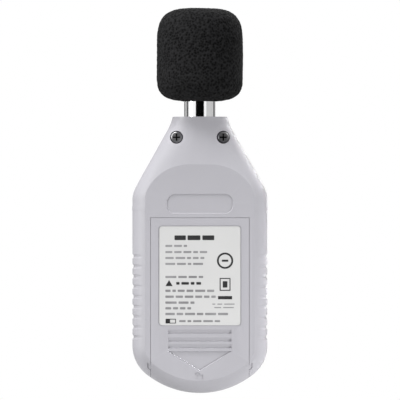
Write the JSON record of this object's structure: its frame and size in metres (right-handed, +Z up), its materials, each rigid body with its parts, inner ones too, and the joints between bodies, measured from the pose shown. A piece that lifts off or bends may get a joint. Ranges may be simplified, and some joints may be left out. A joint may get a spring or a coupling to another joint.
{
  "type": "sound level meter",
  "caption": "Hand-held sound level meter with a foam windscreen over a bright microphone tube, front display, press keys, ribbed sides and a sliding rear battery door.",
  "frame": {"origin": "centre of the bottom of the whole object, at the lowest point of its rounded end", "axes": "+Z up along the microphone tube's axis, +Y out of the back with the battery door, -Y out of the front with the display and keys, +X to the left as one looks at the back"},
  "size_m": [0.0552, 0.0354, 0.157],
  "materials": {
    "shell": "fine textured moulding",
    "panel": "printed film",
    "keycap": "soft moulded key",
    "inner_plastic": "plain moulding",
    "light_guide": "diffusing",
    "clear": "clear",
    "board": "solder mask",
    "steel": "plated",
    "chrome": "polished",
    "microphone": "satin",
    "cell": "printed sleeve",
    "rubber": "matt",
    "label": "satin film",
    "foam": "open-cell foam"
  },
  "bodies": {
    "case": {"back_case": "shell", "front_case": "shell", "front_panel": "panel", "lcd_window": "clear", "lcd_frame": "inner_plastic", "lcd_glass": "clear", "lcd_backlight": "light_guide", "lcd_contact_strip": "rubber", "main_board": "board", "board_screw_1": "steel", "board_screw_2": "steel", "board_screw_3": "steel", "board_screw_4": "steel", "microcontroller": "inner_plastic", "amplifier_chip": "inner_plastic", "crystal": "steel", "capacitor_1": "microphone", "capacitor_2": "microphone", "trimmer": "inner_plastic", "lead_socket": "inner_plastic", "switch_1": "inner_plastic", "switch_2": "inner_plastic", "switch_3": "inner_plastic", "switch_4": "inner_plastic", "mic_tube": "chrome", "neck_ring": "rubber", "mic_grid": "microphone", "mic_capsule": "microphone", "mic_insulator": "inner_plastic", "mic_lead": "rubber", "battery_1": "cell", "battery_2": "cell", "battery_3": "cell", "battery_spring_1": "steel", "battery_spring_2": "steel", "battery_spring_3": "steel", "contact_bottom_end": "steel", "contact_bottom_pair": "steel", "contact_top_pair": "steel", "contact_top_end": "steel", "upper_screw_left": "steel", "upper_screw_right": "steel", "lower_screw_left": "steel", "lower_screw_right": "steel"},
    "door": {"battery_door": "shell", "door_label": "label"},
    "windscreen": {"windscreen": "foam"},
    "key_1": {"key_1": "keycap", "plunger_1": "inner_plastic"},
    "key_2": {"key_2": "keycap", "plunger_2": "inner_plastic"},
    "key_3": {"key_3": "keycap", "plunger_3": "inner_plastic"},
    "key_4": {"key_4": "keycap", "plunger_4": "inner_plastic"}
  },
  "joints": [
    {"name": "door_slide", "type": "slide", "parent": "case", "child": "door", "axis": [0, 0, -1], "range_m": [0, 0.072]},
    {"name": "windscreen_pull", "type": "slide", "parent": "case", "child": "windscreen", "axis": [0, 0, 1], "range_m": [0, 0.045]},
    {"name": "key_1_press", "type": "slide", "parent": "case", "child": "key_1", "axis": [0, 1, 0], "range_m": [0, 0.0004], "stiffness_N_per_m": 1500, "springref_m": -0.0003},
    {"name": "key_2_press", "type": "slide", "parent": "case", "child": "key_2", "axis": [0, 1, 0], "range_m": [0, 0.0004], "stiffness_N_per_m": 1500, "springref_m": -0.0003},
    {"name": "key_3_press", "type": "slide", "parent": "case", "child": "key_3", "axis": [0, 1, 0], "range_m": [0, 0.0004], "stiffness_N_per_m": 1500, "springref_m": -0.0003},
    {"name": "key_4_press", "type": "slide", "parent": "case", "child": "key_4", "axis": [0, 1, 0], "range_m": [0, 0.0004], "stiffness_N_per_m": 1500, "springref_m": -0.0003}
  ]
}
